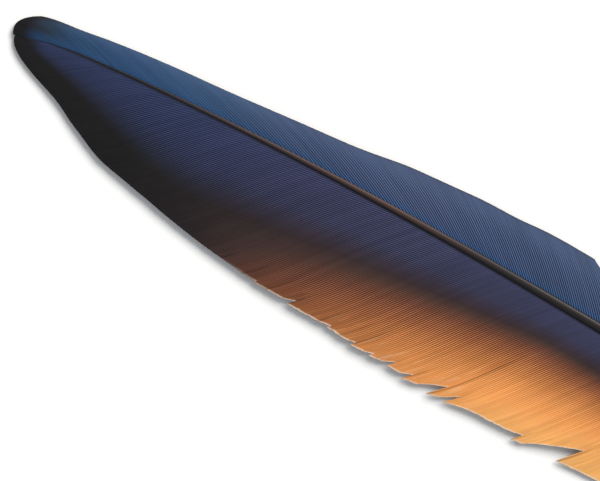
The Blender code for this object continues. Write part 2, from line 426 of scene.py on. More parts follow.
def barb_columns(vane, pitch, steps):
    """Roots of the grid's columns, a few to each barb, and each column's place counted in barbs.

    Barbs stand one pitch apart, square to themselves and half way out, so their count along the
    shaft is the sum of the web's growth square to the barbs, over the pitch.
    """
    roots = np.linspace(SHAFT_START, VANE_END, COUNT_STEPS)
    low, high = (vane_points(vane, roots, np.full(1, share))[:, :2] for share in (0.45, 0.55))
    grown = np.gradient((low + high) / 2, axis=0)
    barb = high - low
    square = np.abs(grown[:, 0] * barb[:, 1] - grown[:, 1] * barb[:, 0]) / np.linalg.norm(barb, axis=1)
    count = np.concatenate([[0], np.cumsum(square[1:] / pitch)])
    barbs = int(count[-1])
    places = np.linspace(0, barbs, barbs * steps + 1)
    return np.interp(places, count * barbs / count[-1], roots), places


def edge_reach(vane, edge):
    """How far each barb reaches past the plain outline, in metres, from its place on the edge.

    In front of each split the edge wears down to the split's depth, and behind it the clump's
    point stands proud, which fades over 3 mm. A deep split wears by a root, which rounds its
    edge. A swell is a bell curve.
    """
    reach = np.zeros_like(edge)
    for place, depth, run, proud in VANES[vane]["splits"]:
        ahead = place * MM - edge
        worn = np.clip(1 - ahead / (run * MM), 0, 1) ** (0.6 if depth > 2.5 else 1.0)
        reach -= np.where(ahead > 0, depth * MM * worn, 0)
        reach += np.where(ahead <= 0, proud * MM * np.exp(ahead / (3 * MM)), 0)
    for place, height, half in VANES[vane]["swells"]:
        reach += height * MM * np.exp(-(((edge / MM - place) / half) ** 2))
    return reach


def crease_fields(vane, edge, share, places):
    """Height steps, and dark lines of painted shade, where barbs have come unhooked, over the whole
    grid.

    Behind a crease the web rides up by the step, fading over 2.5 mm, and in front it dips by half
    of that. The painted shade line itself is half a barb wide.
    """
    lift = np.zeros(share.shape)
    line = np.zeros(share.shape)
    for place, start, step in VANES[vane]["creases"]:
        behind = edge - place * MM
        opened = smooth(share, start, start + 0.3 * (1.05 - start) + 0.04)
        fading = np.exp(-np.abs(behind) / (2.5 * MM))
        lift += opened * step * MM * np.where(behind > 0, 1, -0.5) * fading
        at = np.interp(place * MM, edge, places)
        line = np.maximum(line, opened * np.exp(-(((places - np.round(at)) / 0.5) ** 2)))
    return lift, line


def warmth_of(along, across):
    """Where a point of the inner vane is between blue (-1), the dark band (0) and orange (1).

    The dark band leaves the trailing edge near the tip and nears the shaft towards the quill.
    Past it the colour warms up, by an exponential whose rate rises along the feather.
    """
    at_tip, fall, least, least_of_all = BAND
    near_tip = inner_width(along) * (0.5 + 0.25 * smooth(along, 0, 40 * MM))
    band = np.minimum(near_tip, np.maximum(at_tip - fall * along, least))
    far_band = np.minimum(band, 0.45 * inner_width(along))
    band = np.maximum(np.where(along < 100 * MM, band, far_band), least_of_all)
    past = across - band
    rate = 1.8 * np.maximum(along - 50 * MM, 0)
    warm = 1.05 * (1 - np.exp(-rate * np.maximum(past, 0) / MM))
    blue = np.clip(-past / np.maximum(0.8 * band, 1 * MM), 0, 1)
    return warm - blue


def across_of(points, side):
    """Places along the shaft that points are beside, by Newton's steps, and how far beside."""
    along = points[..., 0] - TIP_X
    flat = points[..., 1] - SHIFT
    for _ in range(NEWTON_STEPS):
        turn = slope(along)
        miss = (along - (points[..., 0] - TIP_X)) + (bow(along) - flat) * turn
        along = along - miss / (1 + turn * turn)
    turn = slope(along)
    return along, side * (flat - bow(along)) * np.sqrt(1 + turn * turn)


def barb_lengths(vane, edge, places, ridge, sizes, seed):
    """How far each column reaches, in lengths of a barb that ends on the plain outline.

    Each barb's end wavers by chance, and its sides end short of its middle, which makes the edge
    a row of fine points. All of this is weaker near the tip, and in front along the outer vane.
    """
    chance = np.random.default_rng(seed)
    ends = chance.normal(0, 1, int(places[-1]) + 2)[np.floor(places).astype(int)]
    width = np.maximum(VANES[vane]["width"](np.maximum(edge, 0)), 0.5 * MM)
    ragged = 0.15 if vane == "outer" else 0.15 + 0.85 * smooth(edge, 50 * MM, 90 * MM)
    uneven = 0.6 * ends * ridge + waver(places, 7, seed + 1) - 0.8 * (1 - ridge)
    worn = edge_reach(vane, edge) + sizes.edge_wear * ragged * uneven
    held = 0.25 + 0.75 * smooth(edge, 0.5 * MM, 12 * MM)
    return np.minimum(1 + worn * held / width, LONGEST)


def web_waves(edge, places, sizes, seed):
    """Heights of the web's waves at its edge, lower in the far half, which lies a little higher."""
    waves = sum(
        height * waver(places, barbs, seed + number)
        for number, (barbs, height) in enumerate(WAVES)
    )
    far = smooth(edge, 110 * MM, 150 * MM)
    return sizes.undulation * (waves * (1 - 0.6 * far) + 0.10 * far)


def upward_normals(middle, steps):
    """Unit normals of a sheet, square to its rows and to its columns taken a whole barb apart."""
    down_rows = np.gradient(middle, axis=0)
    down_columns = np.gradient(middle[:, ::steps], axis=1)
    spread = np.linspace(0, down_columns.shape[1] - 1, middle.shape[1])
    normal = unit(np.cross(down_rows, down_columns[:, np.floor(spread).astype(int)]))
    return normal * np.sign(normal[..., 2:3] + TINY)


def make_vane(vane, sizes, seed):
    """A vane as one closed sheet, ribbed along its barbs, worn and split along its edge.

    The surface is P(column, row): columns run along the barbs, a few to each, and rows go from
    shaft to edge, closest at both. Each barb is a cosine ridge on both faces, and the web thins
    to its edge. Waves and creases move the middle sheet up and down.
    """
    facts = VANES[vane]
    steps = facts["columns"]
    pitch = sizes.outer_pitch if vane == "outer" else sizes.inner_pitch
    root, places = barb_columns(vane, pitch, steps)
    edge = edge_place(root, facts["lead"], facts["steepens"])
    ridge = 0.5 - 0.5 * np.cos(2 * np.pi * places)
    rows = np.linspace(0.04, 0.985, facts["rows"] - len(FIRST_ROWS) - len(LAST_ROWS))
    rows = np.concatenate([FIRST_ROWS, rows, LAST_ROWS])[:, None]
    share = rows * barb_lengths(vane, edge, places, ridge, sizes, seed)[None, :]
    middle = vane_points(vane, root[None, :], share)
    lift, line = crease_fields(vane, edge, share, places)
    grown = np.clip(share, 0, 1) ** 1.3
    middle[..., 2] += lift + grown * web_waves(edge, places, sizes, seed + 2)[None, :]
    normal = upward_normals(middle, steps)
    rib = ridge[None, :] * smooth(share, 0.0, 0.05) * (1 - 0.75 * smooth(share, 0.5, 0.95)) - 0.5
    thin = 1 - 0.75 * smooth(rows, 0.9, 1.0)
    top = middle + normal * (thin * (sizes.web_half + sizes.ridge_top * rib))[..., None]
    under = middle - normal * (thin * (sizes.web_half + sizes.ridge_under * rib))[..., None]
    under[..., 2] = np.maximum(under[..., 2], LEAST_HEIGHT)
    top[..., 2] = np.maximum(top[..., 2], under[..., 2] + LEAST_WEB)
    return closed_vane(vane, top, under, share, places, line)


def closed_vane(vane, top, under, share, places, line):
    """Joins the two faces of a vane along their open edges, and stores what its material reads."""
    rows, columns = share.shape
    count = rows * columns
    quads = grid_faces(rows, columns)
    if VANES[vane]["side"] > 0:
        quads = quads[:, ::-1]
    walls = wall_faces(quads, count)
    faces = np.concatenate([quads, quads[:, ::-1] + count, walls])
    points = np.concatenate([top.reshape(-1, 3), under.reshape(-1, 3)])
    obj = new_mesh(f"{PREFIX}_{vane}_vane", points, faces)
    mesh = obj.data
    along, across = across_of(top, VANES[vane]["side"])
    lengths = np.linalg.norm(np.diff(top, axis=0), axis=-1)
    reach = np.concatenate([np.zeros((1, columns)), np.cumsum(lengths, axis=0)])
    barb = np.broadcast_to(places, share.shape)
    warmth = warmth_of(along, across)
    out = share / share[-1]
    layers = {"barb": barb, "reach": reach, "along": along, "out": out}
    layers["clear"] = across - shaft_radius(np.clip(along, 0, LENGTH))
    layers |= {"warmth": warmth, "crease": line}
    for name, values in layers.items():
        set_attribute(mesh, name, np.concatenate([values.ravel(), values.ravel()]))
    set_attribute(mesh, "under", np.repeat([0.0, 1.0], count))
    set_map(mesh, "OFBake", vane_map(rows, columns, quads, walls))
    return obj


def vane_map(rows, columns, quads, walls):
    """A flat map of a vane: its top in the upper half, its underside in the lower, walls below.

    A margin of 0.01 is kept round the map, and each half is 0.46 high.
    """
    across = np.arange(rows) / (rows - 1)
    along = np.arange(columns) / (columns - 1)
    u, v = np.meshgrid(0.01 + 0.98 * along, across)
    upper = np.stack([u, 0.53 + 0.46 * v], axis=-1).reshape(-1, 2)
    lower = np.stack([u, 0.05 + 0.46 * v], axis=-1).reshape(-1, 2)
    span = np.arange(len(walls))[:, None] + np.array([1, 0, 0, 1])
    heights = np.tile([0.03, 0.03, 0.01, 0.01], (len(walls), 1))
    strip = np.stack([0.01 + 0.98 * span / len(walls), heights], axis=-1)
    return np.concatenate([upper[quads], lower[quads[:, ::-1]], strip])


# ---------------------------------------------------------------- shaft


def make_shaft(sizes):
    """The shaft as a closed surface P(along, around).

    Its section is a rounded box over the vanes, a little deeper than wide and with a groove
    underneath, which turns into a round tube by the quill: cosine and sine to a power, less a
    bell curve. Nine shallow flutes run along it, and the quill's end is hollow.
    """
    count, around = SHAFT_RINGS, SHAFT_SIDES
    along = SHAFT_START + (LENGTH - SHAFT_START) * np.linspace(0, 1, count) ** 0.9
    angle = np.linspace(0, 2 * np.pi, around, endpoint=False)[None, :]
    radius = shaft_radius(along)[:, None]
    tube = smooth(along, *TUBE)[:, None]
    power = BOX_POWER + (1 - BOX_POWER) * tube
    cosine, sine = np.cos(angle), np.sin(angle)
    sideways = np.sign(cosine) * np.abs(cosine) ** power * radius * 0.98
    upwards = np.sign(sine) * np.abs(sine) ** power * radius
    groove = np.exp(-((sideways / (GROOVE_WIDTH * radius)) ** 2)) * (sine < 0) * (1 - tube)
    upwards = upwards + groove * radius * sizes.groove_depth
    flutes = 1 + FLUTES[1] * np.sin(FLUTES[0] * angle + 1.3 * np.sin(along[:, None] / (23 * MM)))
    grain = 0.006 * np.sin(along[:, None] / (2.1 * MM)) * tube
    upwards = upwards * (flutes + grain)
    sideways = sideways * (flutes + grain)
    turn = slope(along)[:, None]
    norm = np.sqrt(1 + turn * turn)
    x = TIP_X + along[:, None] - turn / norm * sideways
    y = (bow(along) + tip_turn(along))[:, None] + sideways / norm + SHIFT
    z = shaft_height(along)[:, None] + upwards
    points = np.stack([x, y, np.maximum(z, 0.0)], axis=-1)
    ends = points[[0, -1]].mean(axis=1)
    ends[1, 0] -= BUTT_HOLLOW
    points = np.concatenate([points.reshape(-1, 3), ends])
    ring = np.arange(count - 1)[:, None] * around + np.arange(around)[None, :]
    following = np.roll(ring, -1, axis=1)
    quads = np.stack([ring, ring + around, following + around, following], axis=-1).reshape(-1, 4)
    first = np.arange(around)
    last = first + (count - 1) * around
    tip = np.stack([np.full(around, count * around), first, np.roll(first, -1)], axis=-1)
    butt = np.stack([np.roll(last, -1), last, np.full(around, count * around + 1)], axis=-1)
    faces = [*quads[:, ::-1].tolist(), *tip[:, ::-1].tolist(), *butt[:, ::-1].tolist()]
    obj = new_mesh(f"{PREFIX}_shaft", points, faces)
    set_attribute(obj.data, "along", np.concatenate([np.repeat(along, around), [along[0], along[-1]]]))
    for name, values in {"sideways": cosine, "around": angle}.items():
        rings = np.broadcast_to(values, (count, around)).ravel()
        set_attribute(obj.data, name, np.concatenate([rings, [0, 0]]))
    return obj


# ---------------------------------------------------------------- fibres


def fibres(paths, thickness, sides):
    """Closed tapering fibres along many paths at once, as points, quads and end caps.

    paths is (fibres, steps, 3), and thickness is the radius at each step. A fibre is a prism of a
    few sides, square to its path, with a flat cap at each end.
    """
    many, steps, _ = paths.shape
    ahead = unit(np.gradient(paths, axis=1))
    aside = unit(np.cross(ahead, UP + OFF_UPRIGHT))
    above = np.cross(aside, ahead)
    angle = np.linspace(0, 2 * np.pi, sides, endpoint=False)
    ring = np.cos(angle)[:, None] * aside[:, :, None, :]
    ring = ring + np.sin(angle)[:, None] * above[:, :, None, :]
    points = paths[:, :, None, :] + ring * thickness[None, :, None, None]
    index = np.arange(many * steps * sides).reshape(many, steps, sides)
    following = np.roll(index, -1, axis=2)
    quads = np.stack(
        [index[:, :-1], following[:, :-1], following[:, 1:], index[:, 1:]], axis=-1
    ).reshape(-1, 4)
    caps = np.concatenate([index[:, 0, ::-1], index[:, -1]])
    return points.reshape(-1, 3), quads, caps


def down_stems(side, sizes, chance):
    """Middle lines of a tuft's downy barbs, as (barbs, steps, 3).

    They leave the shaft's side fanning from the last hooked barb to square to the shaft. Each
    turns by a power of its length and by a sine, and sags towards the floor by another power.
    """
    many = sizes.down_barbs
    at = np.sort(chance.uniform(0, 1, many))
    root = DOWN_START + DOWN_RUN * at**1.15
    usual = (0.95 if side > 0 else 1.35) * sizes.down_length
    long = usual * (1.15 - 0.85 * at**1.3) * chance.uniform(0.55, 1.15, many)
    heading = np.radians(132 - 38 * at + chance.normal(0, 12, many))
    bend = np.radians(chance.normal(12, 30, many))
    along = np.linspace(0, 1, DOWN_STEPS)[None, :]
    wriggle = along * chance.uniform(3, 8, (many, 1)) + chance.uniform(0, 6, (many, 1))
    angle = heading[:, None] + bend[:, None] * along**1.3 + 0.25 * np.sin(wriggle)
    stride = long[:, None] / (DOWN_STEPS - 1)
    x = np.cumsum(np.cos(angle) * stride, axis=1) - np.cos(angle[:, :1]) * stride
    y = np.cumsum(np.sin(angle) * stride, axis=1) - np.sin(angle[:, :1]) * stride
    start_x, start_y = beside(root, 0.75 * shaft_radius(root), side)
    root_z = shaft_height(root) + chance.uniform(-0.5, 0.4, many) * shaft_radius(root)
    end_z = chance.uniform(0.3, 4.6, many) * MM
    z = root_z[:, None] + (end_z - root_z)[:, None] * along**1.4
    z = z + chance.uniform(0.0, 1.0, (many, 1)) * MM * np.sin(np.pi * along)
    return np.stack([start_x[:, None] + x, start_y[:, None] + SHIFT + side * y, z], axis=-1)


def down_barbules(stems, hand, sizes, chance):
    """Middle lines of the barbules on one hand of downy barbs, as (barbules, steps, 3).

    Each is a ray between its stem's direction and square to it, bent forward by a parabola, and
    they get shorter to the stem's end.
    """
    many, steps, _ = stems.shape
    spot = np.linspace(0.05, 0.99, sizes.down_barbules)[None, :] * (steps - 1) * np.ones((many, 1))
    low = np.minimum(np.floor(spot).astype(int), steps - 2)
    part = (spot - low)[..., None]
    stem = np.arange(many)[:, None]
    base = stems[stem, low] * (1 - part) + stems[stem, low + 1] * part
    tangent = unit(np.gradient(stems, axis=1))
    lean = tangent[stem, low]
    out = unit(np.cross(tangent, UP))[stem, low]
    size = sizes.barbule_length * (1.05 - 0.6 * spot / (steps - 1))
    size = size * chance.uniform(0.6, 1.2, spot.shape)
    rise = chance.normal(0, 0.35, spot.shape)[..., None] * UP
    ray = unit(lean * chance.uniform(0.5, 1.1, spot.shape)[..., None] + hand * out + rise)
    reach = np.linspace(0, 1, len(BARBULE_TAPER))[None, None, :, None]
    curl = lean[:, :, None, :] * reach**2 * 0.35
    paths = base[:, :, None, :] + (ray[:, :, None, :] * reach + curl) * size[..., None, None]
    return paths.reshape(-1, len(BARBULE_TAPER), 3)


def make_down(vane, sizes, seed):
    """Loose downy barbs at the foot of a vane, each a limp stem with barbules on both hands."""
    chance = np.random.default_rng(seed)
    stems = down_stems(VANES[vane]["side"], sizes, chance)
    taper = 1 - 0.85 * np.linspace(0, 1, DOWN_STEPS)
    sets = [fibres(stems, sizes.down_stem / 2 * taper, 4)]
    for hand in (1, -1):
        paths = down_barbules(stems, hand, sizes, chance)
        sets.append(fibres(paths, sizes.barbule_stem / 2 * np.array(BARBULE_TAPER), 3))
    return join_fibres(f"{PREFIX}_{vane}_down", sets)


def join_fibres(name, sets):
    """One mesh from several sets of fibres, kept above the floor.

    Its fineness goes from 0 for the first set to 1 for the last.
    """
    points, faces, start = [], [], 0
    for spots, quads, caps in sets:
        points.append(spots)
        faces.extend((quads + start).tolist())
        faces.extend((caps + start).tolist())
        start += len(spots)
    points = np.concatenate(points)
    points[:, 2] = np.maximum(points[:, 2], LEAST_HEIGHT)
    obj = new_mesh(name, points, faces)
    levels = np.linspace(0, 1, len(sets))
    set_attribute(obj.data, "fine", np.repeat(levels, [len(spots) for spots, _, _ in sets]))
    return obj


def make_wisps(vane, sizes, seed):
    """Single barb ends that have come loose along a vane's edge, most of them by the splits.

    Each follows its own barb from inside the edge to just past it, then veers and rises by a
    square of its length.
    """
    facts = VANES[vane]
    chance = np.random.default_rng(seed)
    near = np.array([place for place, depth, _, _ in facts["splits"] if depth >= 0.9]) * MM
    places = np.concatenate([
        chance.normal(near[:, None], 1.6 * MM, (len(near), sizes.wisps_by_split)).ravel(),
        chance.uniform(95 * MM, 195 * MM, sizes.wisps_loose),
    ])
    roots = np.linspace(SHAFT_START, VANE_END, EDGE_STEPS)
    ends = edge_place(roots, facts["lead"], facts["steepens"])
    root = np.interp(places, ends, roots)
    width = facts["width"](places)
    top = 1 + edge_reach(vane, places) / width
    steps = WISP_STEPS
    grow = np.linspace(0, 1, steps)[None, :]
    start = top - chance.uniform(1.0, 5.0, len(root)) * MM / width
    stop = top + chance.uniform(-0.3, 0.45, len(root)) * MM / width
    share = start[:, None] + (stop - start)[:, None] * grow
    paths = vane_points(vane, root[:, None] * np.ones((1, steps)), share)
    veer = chance.normal(0, 0.55, (len(root), 1)) * MM * grow**2
    paths[..., 0] += veer
    paths[..., 2] += 0.10 * MM + chance.uniform(-0.1, 0.45, (len(root), 1)) * MM * grow**2
    thick = sizes.wisp_stem / 2 * (1 - 0.85 * grow[0])
    obj = join_fibres(f"{PREFIX}_{vane}_wisps", [fibres(paths, thick, 4)])
    flat = np.repeat(paths.reshape(-1, 3), 4, axis=0)
    along, across = across_of(flat, facts["side"])
    set_attribute(obj.data, "warmth", warmth_of(along, across))
    set_attribute(obj.data, "along", along)
    return obj


# ---------------------------------------------------------------- materials

# Settings that many nodes share
TIMES = {"operation": "MULTIPLY"}
TIMES_PLUS = {"operation": "MULTIPLY_ADD"}
STEP = {"interpolation_type": "SMOOTHSTEP"}
BLEND = {"out": 2, "data_type": "RGBA"}

KERATIN_IOR = 1.56
WEB_FIELDS = ("barb", "reach", "along", "out", "clear", "crease", "under")
# Chance streaks in a web: cells to a barb, length, detail, strength and least brightness
STREAKS = ((0.35, 11.11 * MM, 3.0, 0.30, 0.84), (0.05, 16.67 * MM, 2.0, 0.28, 0.85))

# Blues and browns by the distance along the feather, in metres
OUTER_BLUES = (
    (0.0, "#1a191b"), (0.0035, "#1b1b1f"), (0.0065, "#22303f"), (0.011, "#25405f"),
    (0.020, "#2a466a"), (0.040, "#2e4869"), (0.060, "#344361"), (0.090, "#35415e"),
    (0.105, "#303f5d"), (0.210, "#2d3c57"),
)
HORN_BROWNS = (
    (0.0, "#10161f"), (0.026, "#191a20"), (0.048, "#38292a"), (0.080, "#442f2a"), (0.110, "#262020"),
    (0.140, "#231d1d"), (0.180, "#54402f"), (0.212, "#a08a70"), (0.260, "#cdbb9c"),
)
# The trailing vane's colours by its warmth, in the half by the tip and in the other
TIP_HALF = (
    (-1.0, "#2a3352"), (-0.55, "#272e48"), (-0.3, "#232637"), (-0.1, "#1d1e22"),
    (0.0, "#1b1a1b"), (0.1, "#312728"), (0.3, "#5d3a2f"), (0.5, "#865437"),
)
FAR_HALF = (
    (-1.0, "#353752"), (-0.5, "#34354d"), (-0.2, "#352e3b"), (0.0, "#372b2d"), (0.12, "#47332e"),
    (0.3, "#694030"), (0.5, "#905737"), (0.7, "#be7844"), (0.88, "#ee9d59"), (1.05, "#ffbf6f"),
)


def plug(tree, node, inputs):
    """Sets a node's inputs by name or number, or links those that are given a socket."""
    for key, value in inputs.items():
        if isinstance(value, bpy.types.NodeSocket):
            tree.links.new(value, node.inputs[key])
        else:
            node.inputs[key].default_value = value


def add(tree, kind, inputs=(), out=0, stops=(), **settings):
    """Adds a node with its settings, sets or links its inputs, and returns one of its outputs.

    The inputs come in order, or as a dictionary by name or number. Stops are a colour ramp's.
    """
    node = tree.nodes.new("ShaderNode" + kind)
    for name, value in settings.items():
        setattr(node, name, value)
    for number, (place, colour) in enumerate(stops):
        elements = node.color_ramp.elements
        element = elements[number] if number < 2 else elements.new(1.0)
        element.position = place
        element.color = colour
    plug(tree, node, inputs if isinstance(inputs, dict) else dict(enumerate(inputs)))
    return node.outputs[out]


def new_material(name, fields=()):
    """A node material, its tree, its Principled shader, and fields that it reads from the mesh."""
    material = bpy.data.materials.new(name)
    material.use_nodes = True
    tree = material.node_tree
    read = {field: add(tree, "Attribute", out="Fac", attribute_name=field) for field in fields}
    return material, tree, tree.nodes["Principled BSDF"], read


def share_of(tree, strength, *steps):
    """Strength times S-shaped steps, each from 0 to 1 as a field goes from one value to another."""
    for field, start, end in steps:
        step = add(tree, "MapRange", (field, start, end), **STEP)
        strength = add(tree, "Math", (step, strength), **TIMES)
    return strength


def tinted(tree, base, colour, strength, *steps):
    """A colour laid over a base, as strongly as the steps say."""
    return add(tree, "Mix", {0: share_of(tree, strength, *steps), 6: base, 7: colour}, **BLEND)


def shaded(tree, colour, light):
    """A colour times a brightness."""
    shade = add(tree, "CombineXYZ", (light, light, light))
    return add(tree, "Mix", {0: 1.0, 6: colour, 7: shade}, blend_type="MULTIPLY", **BLEND)


def banded(tree, field, low, high, bands):
    """Colours between stops of (value, sRGB hex), by a field's value from low to high."""
    share = add(tree, "MapRange", (field, low, high))
    stops = [((value - low) / (high - low), linear(code)) for value, code in bands]
    return add(tree, "ValToRGB", (share,), stops=stops)


def streaked(tree, first, first_rate, second, second_rate, detail):
    """Chance streaks from 0 to 1: noise over two fields, each at its own rate of cells to a unit."""
    across = add(tree, "Math", (first, first_rate), **TIMES)
    along = add(tree, "Math", (second, second_rate), **TIMES)
    place = add(tree, "CombineXYZ", (across, along))
    return add(tree, "TexNoise", {"Vector": place, "Scale": 1.0, "Detail": detail})


def web_groove_shade_and_tone(tree, barb, reach, wave, depth):
    """Brightness of a web: painted shade as dark lines between its barbs, and streaks by chance.

    The lines are the exponential of a cosine, evened out so that their depth leaves the mean as
    it is. Each barb has its own brightness, and streaks run along a few barbs at a time.
    """
    swing = add(tree, "Math", (depth, wave), **TIMES)
    power = add(tree, "Math", (swing, -0.5), **TIMES)
    lines = add(tree, "Math", (power,), operation="EXPONENT")
    square = add(tree, "Math", (depth, depth), **TIMES)
    evener = add(tree, "Math", (square, 1 / 16, 1.0), **TIMES_PLUS)
    light = add(tree, "Math", (lines, evener), operation="DIVIDE")
    number = add(tree, "Math", (barb,), operation="FLOOR")
    chance = add(tree, "TexWhiteNoise", {"W": number}, out="Value", noise_dimensions="1D")
    own = add(tree, "Math", (chance, 0.16, 0.92), **TIMES_PLUS)
    light = add(tree, "Math", (light, own), **TIMES)
    for rate, length, detail, strength, least in STREAKS:
        streak = streaked(tree, barb, rate, reach, 1 / length, detail)
        level = add(tree, "Math", (streak, strength, least), **TIMES_PLUS)
        light = add(tree, "Math", (light, level), **TIMES)
    return light


def barbule_hatch(tree, reach, wave, pitch):
    """Height of the slanting barbules: a sine along each barb, highest in the gaps between two."""
    rows = add(tree, "Math", (reach, 1 / pitch), **TIMES)
    slanted = add(tree, "Math", (wave, 0.8, rows), **TIMES_PLUS)
    turn = add(tree, "Math", (slanted, 2 * np.pi), **TIMES)
    hatch = add(tree, "Math", (turn,), operation="SINE")
    raised = add(tree, "Math", (wave, 0.5, 0.5), **TIMES_PLUS)
    return add(tree, "Math", (hatch, raised), **TIMES)


def hooked_barbs(name, looks, zones):
    """Keratin barbs, grown as a web of hooked rows.

    The rows give a satin face, with fine lines of painted shade between the barbs, and their depth
    swallows light, so the gloss is weak and the dark band stays deep.
    """
    material, tree, shader, read = new_material(name, WEB_FIELDS)
    barb, reach = read["barb"], read["reach"]
    colour, depth = zones(tree, looks, read)
    turn = add(tree, "Math", (barb, 2 * np.pi), **TIMES)
    wave = add(tree, "Math", (turn,), operation="COSINE")
    height = barbule_hatch(tree, reach, wave, looks.hatch_pitch)
    # painted shade: dark lines between the barbs, times each barb's own tone and chance streaks
    colour = shaded(tree, colour, web_groove_shade_and_tone(tree, barb, reach, wave, depth))
    # painted shade: a dark line down each crease
    crease = add(tree, "Math", (read["crease"], 0.5), **TIMES)
    colour = tinted(tree, colour, linear("#1c1512"), crease)
    dull = tinted(tree, colour, looks.underside, 0.45)
    plug(tree, shader, {
        "Base Color": tinted(tree, colour, dull, read["under"]),
        "Normal": add(tree, "Bump", {"Strength": 0.25, "Distance": 0.05 * MM, "Height": height}),
        "Roughness": add(tree, "Math", (height, 0.06, 0.5), **TIMES_PLUS),
        "IOR": KERATIN_IOR,
        "Specular IOR Level": 0.08,
    })
    return material


def outer_zones(tree, looks, read):
    """Blue along the leading vane: near black at the tip, then teal blue, then greyer, paler blue.

    Its painted shade lines between barbs fade out towards the leading edge, where the barbs lie flat on
    each other.
    """
    along, out = read["along"], read["out"]
    colour = banded(tree, along, 0.0, 210 * MM, OUTER_BLUES)
    colour = tinted(tree, colour, looks.leading_edge, 0.22, (out, 0.45, 0.95))
    colour = tinted(tree, colour, looks.by_shaft, 0.5, (read["clear"], 1.6 * MM, 0.2 * MM))
    colour = tinted(tree, colour, linear("#232529"), 0.9, (out, 0.8, 1.0), (along, 14 * MM, 3.5 * MM))
    colour = tinted(tree, colour, linear("#2c2c33"), 0.6, (out, 0.965, 0.985))
    colour = tinted(tree, colour, linear("#1a191b"), 1.0, (along, 5 * MM, 1.5 * MM))
    # painted shade lines between barbs, fading towards the leading edge and the tip
    lines = share_of(tree, looks.groove_shade_depth, (out, 0.92, 0.5), (along, 20 * MM, 95 * MM))
    return colour, add(tree, "Math", (lines, 0.2), operation="ADD")


def inner_zones(tree, looks, read):
    """The trailing vane's colours, with the painted shade lines between barbs strongest where brown
    warms to orange.

    A thin line of painted shadow runs beside the shaft, and worn ends give the orange edge a pale rim.
    """
    along, out = read["along"], read["out"]
    warmth = add(tree, "Attribute", out="Fac", attribute_name="warmth")
    # worn streaks 9 mm long and about a barb wide
    fray = streaked(tree, read["barb"], 0.9, read["reach"], 1 / (9.09 * MM), 2.0)
    worn = ((fray, 0.56, 0.70), (out, 0.6, 0.97), (warmth, 0.35, 0.8))
    colour = inner_colours(tree, along, warmth)
    colour = tinted(tree, colour, looks.worn_barbs, 0.4, *worn)
    colour = tinted(tree, colour, looks.worn_rim, 0.75, (out, 0.980, 0.998), (warmth, 0.1, 0.5))
    # painted shadow of the shaft: a dark line on the web beside it
    colour = tinted(tree, colour, linear("#19181d"), 0.6, (read["clear"], 0.5 * MM, 0.15 * MM))
    colour = tinted(tree, colour, linear("#1a1a1c"), 1.0, (along, 7.5 * MM, 3 * MM))
    # painted shade lines between barbs, deepest where the colour warms
    warm = ((warmth, 0.0, 0.4), (warmth, 1.0, 0.5), (along, 165 * MM, 115 * MM))
    cool = ((warmth, -0.1, -0.4), (along, 118 * MM, 85 * MM), (along, 12 * MM, 36 * MM))
    both = tuple(share_of(tree, 1.0, *steps) for steps in (warm, cool))
    most = add(tree, "Math", both, operation="MAXIMUM")
    depth = add(tree, "Math", (most, 0.9 * looks.groove_shade_depth, 0.12), **TIMES_PLUS)
    return colour, share_of(tree, depth, (out, 1.0, 0.75))


def inner_colours(tree, along, warmth):
    """From the shaft outwards: dark blue, the near-black band, then brown warming to orange."""
    tip_half, far_half = (banded(tree, warmth, -1.0, 1.2, half) for half in (TIP_HALF, FAR_HALF))
    return tinted(tree, tip_half, far_half, 1.0, (along, 28 * MM, 84 * MM))


def polished_horn():
    """Horny keratin, grown as a hard tube: brown and polished above, pale and see-into at the quill.

    Its smooth skin gives a long narrow highlight, and its faint lengthwise grain breaks it up.
    """
    fields = ("along", "sideways", "around")
    material, tree, shader, read = new_material("keratin_horn_grown_smooth", fields)
    along, painted_shade_side = read["along"], (read["sideways"], 0.1, -0.5)
    colour = banded(tree, along, 0.0, LENGTH, HORN_BROWNS)
    # painted shade on the shaft's inner flank, the side away from the lamp, fading out at the quill
    colour = tinted(tree, colour, linear("#1d1a1b"), 1.0, painted_shade_side, (along, 214 * MM, 185 * MM))
    # lengthwise grain in streaks about 17 mm long
    grain = streaked(tree, along, 1 / (16.67 * MM), read["around"], 3.0, 4.0)
    light = add(tree, "Math", (grain, 0.5, 0.75), **TIMES_PLUS)
    plug(tree, shader, {
        "Base Color": shaded(tree, colour, light),
        "Normal": add(tree, "Bump", {"Strength": 0.3, "Distance": 0.03 * MM, "Height": grain}),
        "Roughness": add(tree, "Math", (grain, 0.2, 0.25), **TIMES_PLUS),
        "IOR": KERATIN_IOR,
        "Specular IOR Level": 0.2,
    })
    return material


def loose_down(looks):
    """Downy keratin, grown without hooks: a soft grey-buff haze, matte, lighter at its barbules."""
    material, tree, shader, read = new_material("keratin_down_grown_loose", ("fine",))
    # tufts of lighter and darker down, a good 2 mm across
    place = add(tree, "TexCoord", out="Object")
    cloud = add(tree, "TexNoise", {"Vector": place, "Scale": 1 / (2.222 * MM), "Detail": 3.0})
    colour = tinted(tree, looks.down_dark, looks.down_light, 1.0, (cloud, 0.3, 0.7))
    fine = add(tree, "Math", (read["fine"], 0.3), **TIMES)
    plug(tree, shader, {
        "Base Color": tinted(tree, colour, linear("#b9aca0"), fine),
        "Roughness": add(tree, "Math", (cloud, 0.2, 0.7), **TIMES_PLUS),
        "Specular IOR Level": 0.15,
    })
    return material


